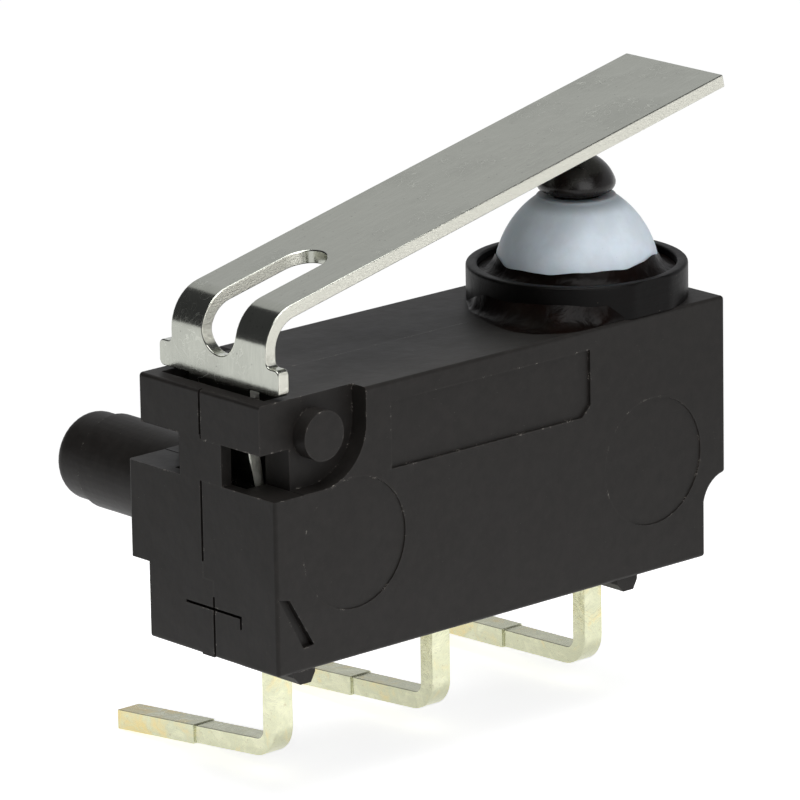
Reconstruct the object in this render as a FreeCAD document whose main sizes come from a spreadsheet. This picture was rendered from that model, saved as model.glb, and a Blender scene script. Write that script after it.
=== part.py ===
import FreeCAD, Part
import os
import re
import Sketcher

# Sealed subminiature snap switch with a flat leaf lever over its pin plunger.
# Every length is in millimetres and every angle in degrees. The case is drawn with
# X along its length from the lever end, Y across its width from the parting plane and
# Z up from its underside. The finished pieces are placed with the point midway between
# the two board pegs, on the face that meets the board, as the origin.

SIZES = {
    # Case
    "case_length": 14.6,
    "case_width": 5.3,
    "case_height": 6.5,
    "edge_round": 0.09,
    "notch_depth": 0.7,
    "notch_low": 1.39,
    "notch_top": 2.02,
    "notch_waist_x": 0.42,
    "notch_waist_z": 1.85,
    "foot_rebate": 0.68,
    "foot_rebate_top": 1.88,
    "base_step": 0.37,
    "base_step_top": 1.9,
    "cavity_floor": 2.0,
    "roof_thick": 0.9,
    "side_wall": 0.75,
    "blade_end_gap": 0.3,
    "seam_width": 0.07,
    "seam_depth": 0.12,
    "slit_z": 1.2,
    "slit_front": 1.33,
    "slit_back": 0.64,
    "slit_hook": 0.3,
    # Corner recesses with their bosses, one on each side
    "recess_right": 2.88,
    "recess_tall": 2.21,
    "recess_depth": 0.5,
    "recess_round": 1.4,
    "boss_x": 1.62,
    "boss_drop": 0.94,
    "boss_radius": 0.61,
    "boss_gap": 0.06,
    # Openings for the lever at the end of the case
    "window_depth": 0.9,
    "window_drop": 1.2,
    "window_tall": 1.02,
    "web_half": 0.76,
    "web_thick": 0.3,
    "slot_front": 0.42,
    "slot_back": 1.15,
    "slot_wall": 0.8,
    "tongue_room_drop": 2.65,
    "tongue_room_half": 1.3,
    # Bare panel and mould marks on the front cover
    "panel_left": 3.66,
    "panel_right_margin": 4.52,
    "panel_drop": 0.5,
    "panel_tall": 1.64,
    "panel_chamfer": 0.28,
    "panel_depth": 0.07,
    "mark_radius": 1.6,
    "mark_z": 2.8,
    "mark_depth": 0.03,
    "wedge_depth": 0.15,
    "wedge_left": 0.06,
    "wedge_right": 1.12,
    "wedge_low": 0.6,
    "wedge_high": 1.9,
    "wedge_width": 0.33,
    # Board pegs and stand-off feet
    "peg_span": 9.7,
    "peg_z": 3.0,
    "peg_radius": 1.18,
    "peg_length": 4.55,
    "peg_round": 0.36,
    "foot_drop": 0.34,
    "foot_left": 0.55,
    "foot_right_margin": 3.6,
    "foot_length": 0.66,
    "foot_inner": 0.45,
    # Lever
    "lever_thick": 0.32,
    "lever_front": 0.63,
    "lever_bend_rise": 1.9,
    "lever_overhang": 3.35,
    "lever_angle": 12.6,
    "lever_bend_inner": 0.74,
    "blade_half": 1.7,
    "bar_half": 2.15,
    "bar_gap": 0.08,
    "bar_tall": 0.64,
    "bar_round": 0.15,
    "tongue_half": 1.1,
    "tongue_bend_drop": 0.65,
    "tongue_bulge_x": 0.55,
    "tongue_bulge_drop": 1.3,
    "tongue_end_x": 0.74,
    "tongue_end_drop": 2.4,
    "tongue_bend": 0.5,
    "lever_slot_half": 0.6,
    "lever_slot_rise": 0.7,
    "lever_slot_end": 3.88,
    # Plunger, its boot, collar and spring
    "plunger_offset": 4.85,
    "stem_radius": 0.6,
    "stem_clearance": 0.05,
    "stem_tip_radius": 0.3,
    "stem_gap": 0.04,
    "neck_radius": 0.55,
    "shoulder_radius": 0.96,
    "shoulder_rise": 1.9,
    "shoulder_tall": 0.16,
    "cap_radius": 0.975,
    "cap_foot": 0.8,
    "cap_rise": 2.62,
    "cap_rim_tall": 0.25,
    "cap_tall": 0.98,
    "cap_flat": 0.15,
    "boot_wall": 0.28,
    "boot_foot_rise": 1.0,
    "boot_bulge": 0.095,
    "boot_waist_rise": 1.9,
    "boot_neck_radius": 0.97,
    "boot_neck_rise": 2.54,
    "boot_flange_gap": 0.07,
    "boot_flange_thick": 0.3,
    "boot_neck_gap": 0.02,
    "collar_overhang": 0.08,
    "collar_wall": 0.3,
    "collar_height": 0.88,
    "resin_width": 0.43,
    "resin_edge_rise": 0.72,
    "resin_mid_offset": 0.18,
    "resin_mid_rise": 0.8,
    "bead_width": 0.3,
    "bead_height": 0.24,
    "bead_right": 0.9,
    "bead_margin": 0.06,
    "spring_wire": 0.09,
    "spring_radius": 0.86,
    "spring_turns": 3.5,
    # Terminals, all bent towards the board
    "terminal_pitch": 5.08,
    "terminal_wide": 0.58,
    "terminal_thick": 0.44,
    "terminal_inner_corner": -2.61,
    "terminal_tip": 5.75,
    "terminal_bend_inner": 0.25,
    "terminal_bend_outer": 0.8,
    "closed_droop": 5.5,
    "common_droop": 4.0,
    "open_droop": 2.0,
    "coined_start": 2.86,
    "coined_extra": 0.05,
    "tip_chamfer": 0.13,
    "terminal_slot_gap": 0.02,
    "tab_thick": 0.3,
    "tab_half": 0.9,
    "tab_overhang": 0.65,
    "resin_trough": 0.45,
    "trough_left_reach": 1.32,
    "trough_right_reach": 0.82,
    "trough_back": 1.25,
    # Contacts and rocking blade
    "contact_arm": 3.9,
    "contact_radius": 0.6,
    "contact_head": 0.3,
    "contact_crown": 0.12,
    "contact_flat": 0.3,
    "contact_gap": 0.06,
    "rivet_radius": 0.3,
    "rivet_head": 0.08,
    "rivet_head_radius": 0.4,
    "blade_thick": 0.25,
    "rocker_arm": 5.3,
    "rocker_side_gap": 0.12,
    "rocker_tilt": 4.15,
    "rocker_round": 0.4,
    "ear_half": 0.25,
    "ear_gap": 0.15,
    "ear_overhang": 0.13,
    "contact_web": 0.75,
    "blade_window_right": 0.35,
    "blade_window_half": 0.6,
    # Cradle that carries the rocking blade, and the bowed snap spring
    "cradle_half": 0.7,
    "cradle_thick": 0.2,
    "cradle_rise": 0.45,
    "notch_half": 0.34,
    "notch_gap": 0.03,
    "anchor_left": -0.36,
    "anchor_right": -0.16,
    "anchor_half": 0.4,
    "anchor_rise": 0.55,
    "snap_half": 0.4,
    "snap_thick": 0.1,
    "snap_gap": 0.02,
    "snap_right": -0.42,
    "snap_bow": 0.85,
    "snap_foot": 0.08,
}

# Places and widths that follow from the sizes above, each worked out in the sheet
PLACES = {
    # Inside the case, round the rocking blade and its contacts
    "cavity_left": "case_length / 2 - rocker_arm - blade_end_gap",
    "cavity_right": "case_length / 2 + rocker_arm + blade_end_gap",
    "cavity_top": "case_height - roof_thick",
    "cavity_half": "case_width / 2 - side_wall",
    "ear_reach": "cavity_half - ear_gap",
    "cradle_cheek": "ear_reach - ear_overhang - cradle_thick",
    "rocker_half": "cradle_cheek - rocker_side_gap",
    "blade_window_left": "contact_web - contact_arm",
    "snap_left": "blade_window_left + snap_gap",
    "trough_left": "case_length / 2 - terminal_pitch - trough_left_reach",
    "trough_right": "case_length / 2 + terminal_pitch + trough_right_reach",
    # Outside of the case
    "recess_floor": "case_height - recess_tall",
    "boss_z": "case_height - boss_drop",
    "window_high": "case_height - window_drop",
    "window_low": "window_high - window_tall",
    "slot_half": "case_width / 2 - slot_wall",
    "tongue_room_low": "case_height - tongue_room_drop",
    "panel_right": "case_length - panel_right_margin",
    "panel_high": "case_height - panel_drop",
    "panel_low": "panel_high - panel_tall",
    "foot_right": "case_length - foot_right_margin",
    # Plunger, boot, collar and resin
    "plunger_x": "case_length / 2 + plunger_offset",
    "shoulder_low": "case_height + shoulder_rise",
    "shoulder_high": "shoulder_low + shoulder_tall",
    "cap_low": "case_height + cap_rise",
    "cap_rim": "cap_low + cap_rim_tall",
    "cap_top": "cap_low + cap_tall",
    "collar_radius": "case_width / 2 + collar_overhang",
    "boot_flange_radius": "collar_radius - collar_wall - boot_flange_gap",
    "boot_foot_radius": "collar_radius - collar_wall - resin_width",
    "boot_foot_z": "case_height + boot_foot_rise",
    "boot_waist_radius": "(boot_foot_radius + boot_neck_radius) / 2 + boot_bulge",
    "boot_waist_z": "case_height + boot_waist_rise",
    "boot_neck_z": "case_height + boot_neck_rise",
    "resin_low": "case_height + resin_edge_rise",
    "resin_mid_radius": "boot_foot_radius + resin_mid_offset",
    "resin_mid_z": "case_height + resin_mid_rise",
    # Lever
    "lever_bend_z": "case_height + lever_bend_rise",
    "lever_tip": "plunger_x + lever_overhang",
    "lever_slot_low": "case_height + lever_slot_rise",
    "bar_low": "case_height + bar_gap",
    "bar_high": "bar_low + bar_tall",
    "tongue_bend_z": "case_height - tongue_bend_drop",
    "tongue_bulge_z": "case_height - tongue_bulge_drop",
    "tongue_end_z": "case_height - tongue_end_drop",
}

# Heights that several pieces share, worked out from the sizes above
FULCRUM_Z = ("(cavity_floor + tab_thick + contact_head + contact_gap"
             " + contact_head * cos(rocker_tilt) + contact_arm * sin(rocker_tilt))")
CASE_MID = "(case_length / 2)"
BOARD_Y = "(case_width / 2)"
BACK_FACE = "(case_width / 2)"
BLADE_TOP_AT_STEM = (f"({FULCRUM_Z} + blade_thick / cos(rocker_tilt)"
                     f" + (plunger_x - {CASE_MID}) * tan(rocker_tilt))")

doc = FreeCAD.newDocument("PinPlungerSwitch")
sheet = doc.addObject("Spreadsheet::Sheet", "Sizes")
for row, (alias, value) in enumerate([*SIZES.items(), *PLACES.items()], start=1):
    sheet.set(f"A{row}", alias)
    sheet.setAlias(f"B{row}", alias)
    sheet.set(f"B{row}", f"={value}" if alias in PLACES else str(value))
doc.recompute()


def sized(formula):
    """Point every size and place that a formula names at its cell in the sheet."""
    def cell(word):
        known = word.group() in SIZES or word.group() in PLACES
        return "Sizes." + word.group() if known else word.group()
    return re.sub(r"[A-Za-z_]\w*", cell, formula)


def number(formula):
    """The present value of a formula."""
    return float(sheet.evalExpression(sized(formula)))


def new_body(name, x="0", z="0"):
    """An empty body whose own origin lies at (x, 0, z) of the case."""
    body = doc.addObject("PartDesign::Body", name)
    body.Label = name
    body.setExpression("Placement.Base.x", sized(f"{x} - {CASE_MID}"))
    body.setExpression("Placement.Base.y", sized(f"-{BOARD_Y}"))
    body.setExpression("Placement.Base.z", sized(f"{z} - peg_z"))
    return body


def new_sketch(body, plane, name, level):
    """A sketch parallel to an origin plane of the body, at a level along its third axis."""
    sketch = body.newObject("Sketcher::SketchObject", name)
    support = next(item for item in body.Origin.OriginFeatures if item.Role == plane + "_Plane")
    sketch.AttachmentSupport = [(support, "")]
    sketch.MapMode = "FlatFace"
    sign = "-" if plane == "XZ" else ""
    sketch.setExpression("AttachmentOffset.Base.z", sized(f"{sign}({level})"))
    return sketch


def pin_point(sketch, geometry, end, place):
    """Hold one sketch point at the pair of formulas in place."""
    for kind, formula in zip(("DistanceX", "DistanceY"), place):
        held = sketch.addConstraint(
            Sketcher.Constraint(kind, -1, 1, geometry, end, number(formula)))
        sketch.setExpression(f"Constraints[{held}]", sized(formula))


def draw_outline(sketch, corners):
    """Close an outline through the corners. A corner followed by {"via": point} starts an
    arc that passes through that point on its way to the next corner."""
    places = [corner for corner in corners if not isinstance(corner, dict)]
    vias = {}
    for index, corner in enumerate(corners):
        if isinstance(corner, dict):
            before = sum(not isinstance(item, dict) for item in corners[:index]) - 1
            vias[before] = corner["via"]
    points = [FreeCAD.Vector(number(x), number(y), 0) for x, y in places]
    ends = []
    for index, start in enumerate(points):
        finish = points[(index + 1) % len(points)]
        if index in vias:
            x, y = vias[index]
            middle = FreeCAD.Vector(number(x), number(y), 0)
            edge = sketch.addGeometry(Part.Arc(start, middle, finish), False)
            first = 1 if sketch.getPoint(edge, 1).distanceToPoint(start) < 1e-6 else 2
            marker = sketch.addGeometry(Part.Point(middle), True)
            pin_point(sketch, marker, 1, vias[index])
            sketch.addConstraint(Sketcher.Constraint("PointOnObject", marker, 1, edge))
        else:
            edge = sketch.addGeometry(Part.LineSegment(start, finish), False)
            first = 1
        ends.append((edge, first, 3 - first))
    for index, (edge, first, last) in enumerate(ends):
        following, following_first, _ = ends[(index + 1) % len(ends)]
        sketch.addConstraint(
            Sketcher.Constraint("Coincident", edge, last, following, following_first))
        pin_point(sketch, edge, first, places[index])


def draw_circle(sketch, centre, radius):
    """A circle about a pair of formulas."""
    middle = FreeCAD.Vector(number(centre[0]), number(centre[1]), 0)
    ring = sketch.addGeometry(
        Part.Circle(middle, FreeCAD.Vector(0, 0, 1), number(radius)), False)
    pin_point(sketch, ring, 3, centre)
    held = sketch.addConstraint(Sketcher.Constraint("Radius", ring, number(radius)))
    sketch.setExpression(f"Constraints[{held}]", sized(radius))


def solid_volume(body):
    """Volume of the body so far."""
    return 0.0 if body.Shape.isNull() else body.Shape.Volume


def finish_feature(body, feature, before, grows):
    """Recompute, and make sure that the feature added or removed material."""
    doc.recompute()
    change = solid_volume(body) - before
    if (change > 0) != grows or abs(change) < 1e-7:
        raise RuntimeError(f"{body.Label}: {feature.Name} changed the volume by {change}")


def extrude(kind, body, plane, name, drawing, low, high):
    """Pad or pocket a drawing from low to high along the axis across the plane."""
    before = solid_volume(body)
    sketch = new_sketch(body, plane, name + "_outline", low)
    for item in drawing:
        if isinstance(item, tuple):
            draw_circle(sketch, item[0], item[1])
        else:
            draw_outline(sketch, item)
    feature = body.newObject("PartDesign::" + kind, name)
    feature.Profile = sketch
    feature.setExpression("Length", sized(f"({high}) - ({low})"))
    feature.Reversed = (plane == "XZ") == (kind == "Pad")
    sketch.Visibility = False
    finish_feature(body, feature, before, kind == "Pad")
    return feature


def add(body, plane, name, drawing, low, high):
    return extrude("Pad", body, plane, name, drawing, low, high)


def cut(body, plane, name, drawing, low, high):
    return extrude("Pocket", body, plane, name, drawing, low, high)


def box_outline(left, low, right, high):
    """Corners of an upright rectangle."""
    return [(left, low), (right, low), (right, high), (left, high)]


def turn(body, name, corners):
    """Revolve an outline about the body's own Z axis."""
    before = solid_volume(body)
    sketch = new_sketch(body, "XZ", name + "_outline", "0")
    draw_outline(sketch, corners)
    feature = body.newObject("PartDesign::Revolution", name)
    feature.Profile = sketch
    feature.ReferenceAxis = (sketch, ["V_Axis"])
    feature.Angle = 360.0
    sketch.Visibility = False
    finish_feature(body, feature, before, True)
    return feature


def dress(kind, body, name, size, chosen):
    """Fillet or chamfer the edges of the body for which chosen(edge) is true."""
    base = body.Tip
    names = [f"Edge{index}" for index, edge in enumerate(base.Shape.Edges, start=1)
             if chosen(edge)]
    if not names:
        raise RuntimeError(f"{body.Label}: {name} finds no edge")
    feature = body.newObject("PartDesign::" + kind, name)
    feature.Base = (base, names)
    feature.setExpression("Radius" if kind == "Fillet" else "Size", sized(size))
    doc.recompute()
    return feature


def runs_along(edge, axis):
    """True for a straight edge parallel to the named axis."""
    box = edge.BoundBox
    spans = {"X": box.XLength, "Y": box.YLength, "Z": box.ZLength}
    length = spans.pop(axis)
    return length > 1e-4 and max(spans.values()) < 1e-5


def edge_at(edge, near, **where):
    """True if the middle of the edge lies at the given coordinates, each within near."""
    centre = edge.BoundBox.Center
    middle = {"x": centre.x, "y": centre.y, "z": centre.z}
    return all(abs(middle[axis] - number(place)) < near for axis, place in where.items())


def case_outline():
    """Side view shared by both halves of the case."""
    return [
        ("0", "0"),
        ("case_length - notch_depth", "0"),
        ("case_length - notch_depth", "notch_low"),
        {"via": ("case_length - notch_waist_x", "notch_waist_z")},
        ("case_length", "notch_top"),
        ("case_length", "case_height"),
        ("0", "case_height"),
    ]


def side_levels(side, inner, outer):
    """Low and high Y of something that spans inner to outer on one side of the parting."""
    return (inner, outer) if side > 0 else (f"-({outer})", f"-({inner})")


def case_half(name, side):
    """One half of the case with what both halves share. side is 1 at the board side."""
    body = new_body(name)
    add(body, "XZ", "shell", [case_outline()], *side_levels(side, "0", BACK_FACE))
    dress("Fillet", body, "shell_rounding", "edge_round",
          lambda edge: abs(abs(edge.BoundBox.Center.y) - number(BACK_FACE)) < 1e-4
          and edge.BoundBox.YLength < 1e-5
          or runs_along(edge, "Y"))
    cut(body, "XZ", "cavity",
        [box_outline("cavity_left", "cavity_floor", "cavity_right", "cavity_top")],
        *side_levels(side, "0", "cavity_half"))
    recess = box_outline("-1", "recess_floor", "recess_right", "case_height + 1")
    recess_floor_y = f"{BACK_FACE} - recess_depth"
    cut(body, "XZ", "corner_recess", [recess],
        *side_levels(side, recess_floor_y, f"{BACK_FACE} + 1"))
    dress("Fillet", body, "recess_corner", "recess_round",
          lambda edge: runs_along(edge, "Y")
          and edge_at(edge, 1e-3, x="recess_right", z="recess_floor"))
    add(body, "XZ", "recess_boss", [(("boss_x", "boss_z"), "boss_radius")],
        *side_levels(side, recess_floor_y, f"{BACK_FACE} - boss_gap"))
    cut(body, "XY", "stem_hole", [(("plunger_x", "0"), "stem_radius + stem_clearance")],
        "cavity_top - 1", "case_height + 1")
    cut(body, "XZ", "lever_slot",
        [box_outline("slot_front", "window_high - 0.1", "slot_back", "case_height + 1")],
        *side_levels(side, "0", "slot_half"))
    return body


def seam(body, name, y, low, high):
    """Fine open line on the end face where the two halves meet."""
    cut(body, "YZ", name,
        [box_outline(f"{y} - seam_width / 2", low, f"{y} + seam_width / 2", high)],
        "-1", "seam_depth")


def make_rear_case():
    """Board-side half: two pegs, the web of the lever window and the terminal base."""
    body = case_half("rear_case", 1)
    add(body, "XZ", "base_lip",
        [box_outline("0", "0", "case_length - notch_depth", "base_step_top")],
        "-base_step", "edge_round")
    cut(body, "XZ", "foot_rebate",
        [box_outline("-1", "-1", "case_length + 1", "foot_rebate_top")],
        f"{BACK_FACE} - foot_rebate", f"{BACK_FACE} + 1")
    cut(body, "XZ", "end_window",
        [box_outline("-1", "window_low", "slot_back", "window_high")],
        "web_half", f"{BACK_FACE} + 1")
    cut(body, "XZ", "tongue_room",
        [box_outline("web_thick", "tongue_room_low", "slot_back", "window_high")],
        "0", "tongue_room_half")
    add(body, "XZ", "window_web",
        [box_outline("0", "window_low", "web_thick", "window_high")],
        "-web_half", "0")
    for number_of_peg, sign in ((1, "-"), (2, "+")):
        place = (f"{CASE_MID} {sign} peg_span / 2", "peg_z")
        add(body, "XZ", f"peg_{number_of_peg}", [(place, "peg_radius")],
            f"{BACK_FACE} - 0.1", f"{BACK_FACE} + peg_length")
    dress("Fillet", body, "peg_tip_rounding", "peg_round",
          lambda edge: edge_at(edge, 1e-3, y=f"{BACK_FACE} + peg_length"))
    cut(body, "XY", "terminal_slots", terminal_slots(), "-1", "cavity_floor + 0.1")
    cut(body, "XY", "resin_trough",
        [box_outline("trough_left", "-base_step - 1", "trough_right", "trough_back")],
        "-1", "resin_trough")
    seam(body, "base_seam", "-base_step", "-1", "slit_z + slit_hook")
    seam(body, "upper_seam", "0", "window_high + 0.1", "case_height + 1")
    seam(body, "middle_seam", "0", "base_step_top + 0.4", "window_low")
    half = "seam_width / 2"
    cut(body, "YZ", "cross_slit",
        [box_outline("-base_step", f"slit_z - {half}", "slit_back", f"slit_z + {half}")],
        "-1", "seam_depth")
    return body


def terminal_places():
    """X of the closed, common and open terminals."""
    return [f"({CASE_MID} {shift})" for shift in ("- terminal_pitch", "", "+ terminal_pitch")]


def terminal_slots():
    """Outlines of the three slots in the floor, a little larger than the terminals."""
    half_x = "(terminal_wide / 2 + terminal_slot_gap)"
    half_y = "(terminal_thick / 2 + terminal_slot_gap)"
    return [box_outline(f"{x} - {half_x}", f"-{half_y}", f"{x} + {half_x}", half_y)
            for x in terminal_places()]


def make_front_cover():
    """Front half: bare panel, faint mould marks and two stand-off feet."""
    body = case_half("front_cover", -1)
    front = f"-{BACK_FACE}"
    cut(body, "XZ", "base_rebate",
        [box_outline("-1", "-1", "case_length + 1", "base_step_top")], "-base_step", "1")
    cut(body, "XZ", "end_window",
        [box_outline("-1", "window_low", "window_depth", "window_high")],
        f"{front} - 1", "1")
    cut(body, "XZ", "tongue_room",
        [box_outline("web_thick", "tongue_room_low", "slot_back", "window_high")],
        "-tongue_room_half", "1")
    cut(body, "XY", "terminal_slots", terminal_slots(), "1", "cavity_floor + 0.1")
    panel = [
        ("panel_left", "panel_low"),
        ("panel_right - panel_chamfer", "panel_low"),
        ("panel_right", "panel_low + panel_chamfer"),
        ("panel_right", "panel_high"),
        ("panel_left", "panel_high"),
    ]
    cut(body, "XZ", "bare_panel", [panel], f"{front} - 1", f"{front} + panel_depth")
    for side, sign in (("left", "-"), ("right", "+")):
        place = (f"{CASE_MID} {sign} peg_span / 2", "mark_z")
        cut(body, "XZ", f"mould_mark_{side}", [(place, "mark_radius")],
            f"{front} - 1", f"{front} + mark_depth")
    wedge = [("wedge_left", "wedge_high"),
             ("wedge_left + wedge_width", "wedge_high - 0.08"),
             ("wedge_right", "wedge_low"),
             ("wedge_right - wedge_width", "wedge_low - 0.03")]
    cut(body, "XZ", "corner_wedge", [wedge], f"{front} - 1", f"{front} + wedge_depth")
    for side in ("left", "right"):
        foot = [
            (f"foot_{side}", "0.1"),
            (f"foot_{side}", "-foot_drop * 0.4"),
            (f"foot_{side} + foot_length * 0.3", "-foot_drop"),
            (f"foot_{side} + foot_length * 0.8", "-foot_drop"),
            (f"foot_{side} + foot_length", "-foot_drop * 0.3"),
            (f"foot_{side} + foot_length", "0.1"),
        ]
        add(body, "XZ", f"foot_{side}_pad", [foot], f"{front} + edge_round", "-foot_inner")
    seam(body, "upper_seam", "0", "window_high", "case_height + 1")
    seam(body, "base_seam", "-base_step", "-1", "slit_z + slit_hook")
    seam(body, "middle_seam", "0", "base_step_top + 0.4", "window_low")
    half = "seam_width / 2"
    slit = [
        ("-base_step", f"slit_z - {half}"),
        ("-base_step", f"slit_z + {half}"),
        (f"-slit_front - {half}", f"slit_z + {half}"),
        (f"-slit_front - {half}", "slit_z - slit_hook"),
        (f"-slit_front + {half}", "slit_z - slit_hook"),
        (f"-slit_front + {half}", f"slit_z - {half}"),
    ]
    cut(body, "YZ", "cross_slit", [slit], "-1", "seam_depth")
    return body


def make_lever():
    """Flat leaf lever: blade, split bend, shoulder bar and tongue, from one sheet."""
    body = new_body("lever")
    rise = "tan(lever_angle)"
    tip_z = f"lever_bend_z + (lever_tip - lever_front) * {rise}"
    back = "lever_front + lever_thick"
    inner_z = f"lever_bend_z + lever_thick * {rise} - lever_thick / cos(lever_angle)"
    profile = [
        ("lever_front", "lever_bend_z"),
        ("lever_tip", tip_z),
        ("lever_tip + lever_thick * sin(lever_angle)",
         f"{tip_z} - lever_thick * cos(lever_angle)"),
        (back, inner_z),
        (back, "tongue_bend_z"),
        ("tongue_bulge_x + lever_thick", "tongue_bulge_z"),
        ("tongue_end_x + lever_thick", "tongue_end_z"),
        ("tongue_end_x", "tongue_end_z"),
        ("tongue_bulge_x", "tongue_bulge_z"),
        ("lever_front", "tongue_bend_z"),
    ]
    add(body, "XZ", "sheet", [profile], "-bar_half", "bar_half")
    dress("Fillet", body, "bend_inside", "lever_bend_inner",
          lambda edge: runs_along(edge, "Y") and edge_at(edge, 1e-3, x=back, z=inner_z))
    dress("Fillet", body, "bend_outside", "lever_bend_inner + lever_thick",
          lambda edge: runs_along(edge, "Y")
          and edge_at(edge, 1e-3, x="lever_front", z="lever_bend_z"))
    dress("Fillet", body, "tongue_bends", "tongue_bend",
          lambda edge: runs_along(edge, "Y")
          and (edge_at(edge, 1e-3, z="tongue_bend_z") or edge_at(edge, 1e-3, z="tongue_bulge_z")))
    far = "bar_half + 1"
    above = f"{tip_z} + 1"
    sides = [box_outline("blade_half", "bar_high", far, above),
             box_outline(f"-({far})", "bar_high", "-blade_half", above),
             box_outline("tongue_half", "tongue_end_z - 1", far, "bar_low"),
             box_outline(f"-({far})", "tongue_end_z - 1", "-tongue_half", "bar_low")]
    cut(body, "YZ", "side_trim", sides, "0", "lever_tip + 1")
    slot_top = [
        ("lever_front - 1", "-lever_slot_half"),
        ("lever_slot_end - lever_slot_half", "-lever_slot_half"),
        {"via": ("lever_slot_end", "0")},
        ("lever_slot_end - lever_slot_half", "lever_slot_half"),
        ("lever_front - 1", "lever_slot_half"),
    ]
    cut(body, "XY", "slot_in_blade", [slot_top], "lever_slot_low + lever_slot_half", above)
    slot_front = [
        ("-lever_slot_half", "lever_bend_z + 1"),
        ("-lever_slot_half", "lever_slot_low + lever_slot_half"),
        {"via": ("0", "lever_slot_low")},
        ("lever_slot_half", "lever_slot_low + lever_slot_half"),
        ("lever_slot_half", "lever_bend_z + 1"),
    ]
    cut(body, "YZ", "slot_in_leg", [slot_front], "lever_front - 1", "lever_front + 1")
    dress("Fillet", body, "bar_corners", "bar_round",
          lambda edge: runs_along(edge, "X")
          and (edge_at(edge, 1e-3, y="bar_half") or edge_at(edge, 1e-3, y="-bar_half")
               or edge_at(edge, 1e-3, y="blade_half", z="bar_high")
               or edge_at(edge, 1e-3, y="-blade_half", z="bar_high")))
    return body


def make_plunger():
    """Plunger: domed head above the boot, neck, spring shoulder and stem."""
    body = new_body("plunger", x="plunger_x")
    tip = f"{BLADE_TOP_AT_STEM} + stem_gap"
    taper = "stem_radius - stem_tip_radius"
    turn(body, "turned_form", [
        ("0", tip),
        ("stem_tip_radius", tip),
        ("stem_radius", f"{tip} + {taper}"),
        ("stem_radius", "shoulder_low"),
        ("shoulder_radius", "shoulder_low"),
        ("shoulder_radius", "shoulder_high"),
        ("neck_radius", "shoulder_high"),
        ("neck_radius", "cap_low"),
        ("cap_foot", "cap_low"),
        {"via": ("cap_radius - 0.04", "cap_low + 0.1")},
        ("cap_radius", "cap_rim"),
        {"via": ("cap_radius * 0.62", "cap_top - 0.19")},
        ("cap_flat", "cap_top"),
        ("0", "cap_top"),
    ])
    return body


def make_boot():
    """Domed rubber boot: flange on the case, thin dome and a lip round the neck."""
    body = new_body("sealing_boot", x="plunger_x")
    floor = "case_height"
    inner_foot = "boot_foot_radius - boot_wall"
    lip = "neck_radius + boot_neck_gap"
    turn(body, "moulded_form", [
        (inner_foot, floor),
        ("boot_flange_radius", floor),
        ("boot_flange_radius", f"{floor} + boot_flange_thick"),
        ("boot_foot_radius", f"{floor} + boot_flange_thick"),
        ("boot_foot_radius", "boot_foot_z"),
        {"via": ("boot_waist_radius", "boot_waist_z")},
        ("boot_neck_radius", "boot_neck_z"),
        (lip, "boot_neck_z"),
        (lip, "boot_neck_z - boot_wall"),
        ("boot_neck_radius - boot_wall / 4", "boot_neck_z - boot_wall * 1.4"),
        ("boot_waist_radius - boot_wall", "boot_waist_z - boot_wall / 2"),
        (inner_foot, "boot_foot_z"),
    ])
    return body


def make_collar():
    """Upright ring that holds the boot, cut flush with both faces of the case."""
    body = new_body("boot_collar", x="plunger_x")
    inner = "collar_radius - collar_wall"
    add(body, "XY", "ring", [(("0", "0"), "collar_radius"), (("0", "0"), inner)],
        "case_height", "case_height + collar_height")
    far = "collar_radius + 1"
    flats = [box_outline(f"-({far})", BACK_FACE, far, far),
             box_outline(f"-({far})", f"-({far})", far, f"-{BACK_FACE}")]
    cut(body, "XY", "flats", flats, "case_height - 1", "case_height + collar_height + 1")
    return body


def make_boot_resin():
    """Resin between the boot and its collar, with a hollow surface."""
    body = new_body("boot_resin", x="plunger_x")
    inner = "collar_radius - collar_wall"
    flange_top = "case_height + boot_flange_thick"
    turn(body, "poured_form", [
        ("boot_foot_radius", flange_top),
        (inner, flange_top),
        (inner, "resin_low"),
        ("resin_mid_radius", "resin_mid_z"),
        ("boot_foot_radius", "boot_foot_z"),
    ])
    return body


def make_resin_bead():
    """Fillet of resin on the case round the lever side of the collar's foot."""
    body = new_body("collar_resin_bead", x="plunger_x")
    turn(body, "wetted_ring", [
        ("collar_radius", "case_height"),
        ("collar_radius + bead_width", "case_height"),
        ("collar_radius + bead_width * 0.35", "case_height + bead_height * 0.3"),
        ("collar_radius", "case_height + bead_height"),
    ])
    far = "collar_radius + 2"
    half = f"{BACK_FACE} - bead_margin"
    around = [box_outline(f"-({far})", f"-({far})", far, far),
              box_outline(f"-({far}) + 0.5", f"-({half})", "-bead_right", half)]
    cut(body, "XY", "trimmed_edge", around, "case_height - 1", "case_height + 2")
    return body


def make_return_spring():
    """Coil spring of square wire inside the boot, from the case to the plunger's shoulder."""
    body = new_body("return_spring", x="plunger_x")
    sketch = new_sketch(body, "XZ", "wire_section", "0")
    low = "case_height + spring_wire + 0.02"
    draw_outline(sketch, box_outline("spring_radius - spring_wire", f"{low} - spring_wire",
                                     "spring_radius + spring_wire", f"{low} + spring_wire"))
    coil = body.newObject("PartDesign::AdditiveHelix", "coil")
    coil.Profile = sketch
    coil.ReferenceAxis = (sketch, ["V_Axis"])
    coil.Mode = "height-turns-angle"
    height = f"shoulder_low - 0.02 - spring_wire - ({low})"
    coil.setExpression("Height", sized(height))
    coil.setExpression("Turns", sized("spring_turns"))
    sketch.Visibility = False
    finish_feature(body, coil, 0.0, True)
    return body


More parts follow.
